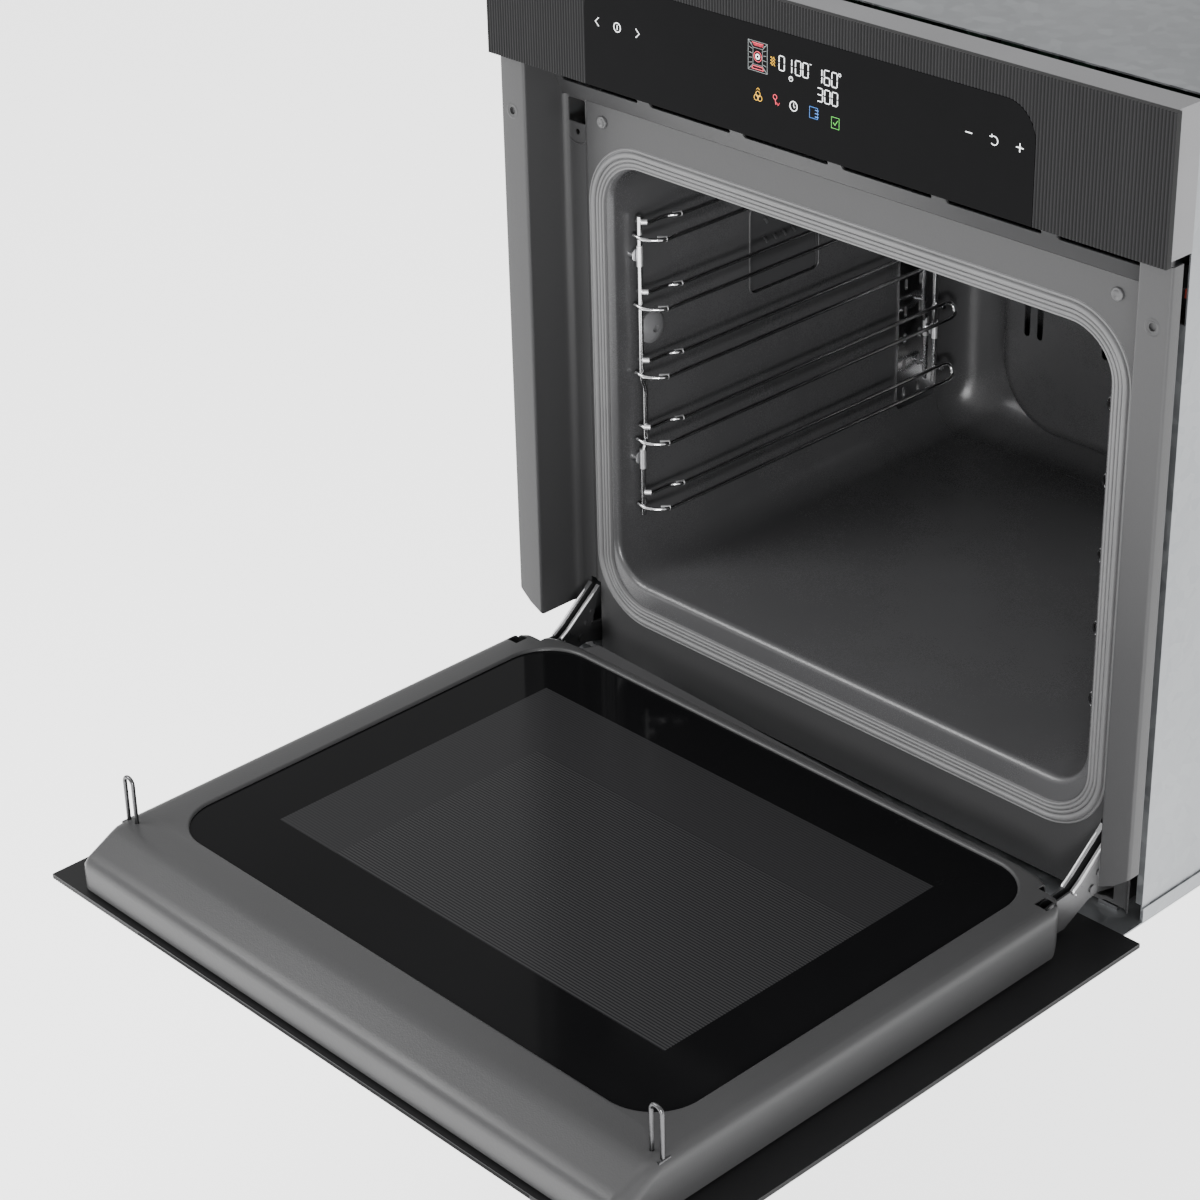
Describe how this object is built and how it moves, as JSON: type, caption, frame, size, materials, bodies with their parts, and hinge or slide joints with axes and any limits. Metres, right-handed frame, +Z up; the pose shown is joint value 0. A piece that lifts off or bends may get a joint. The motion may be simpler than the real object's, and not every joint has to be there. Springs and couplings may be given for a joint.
{
  "type": "wall oven",
  "caption": "Built-in wall oven with microwave: touch-control panel, drop-down door on spring hinges, enamelled cavity with wire shelf runners, hot-air fan and cooling blower.",
  "frame": {"origin": "underside of the carcass, middle of its width, in the plane of the cabinet's front edge", "axes": "+X to the viewer's right, +Y into the cabinet, +Z up; the door is stored open, lying along -Y"},
  "size_m": [0.595, 1.0126, 0.6205],
  "materials": {
    "grey_enamel": "satin",
    "gasket": "satin",
    "cavity_enamel": "gloss",
    "bare_steel": "brushed",
    "galvanised": "satin",
    "element": "matte",
    "bare_aluminium": "satin",
    "housing_plastic": "matte",
    "lamination": "satin",
    "lamp_glass": "gloss",
    "probe_cap": "satin",
    "chrome_wire": "polished",
    "wool": "matte",
    "ribbed_panel": "satin",
    "touch_glass": "gloss",
    "board": "satin",
    "black_plastic": "matte",
    "plunger": "satin",
    "hinge_steel": "satin",
    "spring_steel": "satin",
    "black_rubber": "matte",
    "door_glass": "gloss",
    "clear_glass": "gloss",
    "loop_steel": "polished",
    "handle": "satin"
  },
  "bodies": {
    "carcass": {"front_frame": "grey_enamel", "outlet_strip": "grey_enamel", "door_gasket": "gasket", "cavity_liner": "cavity_enamel", "back_wall": "cavity_enamel", "fan_baffle": "cavity_enamel", "fan_motor": "galvanised", "ring_element": "element", "grill_element": "element", "bottom_element": "element", "stirrer_motor": "housing_plastic", "waveguide": "galvanised", "magnetron": "galvanised", "hv_transformer": "lamination", "hv_capacitor": "bare_aluminium", "lamp_housing": "cavity_enamel", "lamp_bulb": "lamp_glass", "lamp_lens": "clear_glass", "probe_socket": "probe_cap", "rack_left": "chrome_wire", "rack_right": "chrome_wire", "rack_supports": "chrome_wire", "insulation": "wool", "base_panel": "galvanised", "side_panels": "galvanised", "top_cover": "galvanised", "rear_panel": "galvanised", "air_channel": "galvanised", "blower_housing": "galvanised", "blower_motor": "lamination", "fascia_panel": "ribbed_panel", "touch_glass": "touch_glass", "fascia_carrier": "housing_plastic", "display_module": "board", "control_board": "board", "terminal_block": "housing_plastic", "cable_gland": "black_plastic", "interlock_switches": "black_plastic", "hinge_brackets": "hinge_steel", "hinge_pins": "hinge_steel", "door_buffers": "black_rubber", "carcass_screws": "hinge_steel"},
    "door": {"door_panel": "ribbed_panel", "door_frame": "grey_enamel", "inner_glass": "door_glass", "middle_glass": "clear_glass", "glass_rails": "bare_aluminium", "latch_loops": "loop_steel", "hinge_arms": "hinge_steel", "door_handle": "handle"},
    "hot_air_fan": {"convection_fan": "bare_steel"},
    "field_stirrer": {"stirrer": "bare_aluminium"},
    "cooling_wheel": {"blower_wheel": "bare_aluminium"},
    "plunger_l": {"plunger_left": "plunger"},
    "plunger_r": {"plunger_right": "plunger"},
    "spring_rod_l": {"hinge_rod_left": "hinge_steel", "hinge_spring_left": "spring_steel"},
    "spring_rod_r": {"hinge_rod_right": "hinge_steel", "hinge_spring_right": "spring_steel"}
  },
  "joints": [
    {"name": "door_hinge", "type": "hinge", "parent": "carcass", "child": "door", "pos_m": [0, 0.006, 0.0295], "axis": [-1, 0, 0], "range_deg": [0, 90]},
    {"name": "spring_rod_left_slide", "type": "slide", "parent": "carcass", "child": "spring_rod_l", "axis": [0, 1, 0], "range_m": [0, 0.0241]},
    {"name": "spring_rod_right_slide", "type": "slide", "parent": "carcass", "child": "spring_rod_r", "axis": [0, 1, 0], "range_m": [0, 0.0241]},
    {"name": "fan_spin", "type": "hinge", "parent": "carcass", "child": "hot_air_fan", "pos_m": [0, 0.42, 0.252], "axis": [0, 1, 0], "continuous": true},
    {"name": "stirrer_spin", "type": "hinge", "parent": "carcass", "child": "field_stirrer", "pos_m": [0, 0.235, 0.428], "axis": [0, 0, 1], "continuous": true},
    {"name": "blower_spin", "type": "hinge", "parent": "carcass", "child": "cooling_wheel", "pos_m": [-0.15, 0.33, 0.508], "axis": [1, 0, 0], "continuous": true},
    {"name": "plunger_left_press", "type": "slide", "parent": "carcass", "child": "plunger_l", "axis": [0, 1, 0], "range_m": [0, 0.003], "stiffness_N_per_m": 200},
    {"name": "plunger_right_press", "type": "slide", "parent": "carcass", "child": "plunger_r", "axis": [0, 1, 0], "range_m": [0, 0.003], "stiffness_N_per_m": 200}
  ],
  "couplings": [
    {"joint": "spring_rod_left_slide", "follows": "door_hinge", "m_per_rad": 0.015279},
    {"joint": "spring_rod_right_slide", "follows": "door_hinge", "m_per_rad": 0.015279}
  ]
}
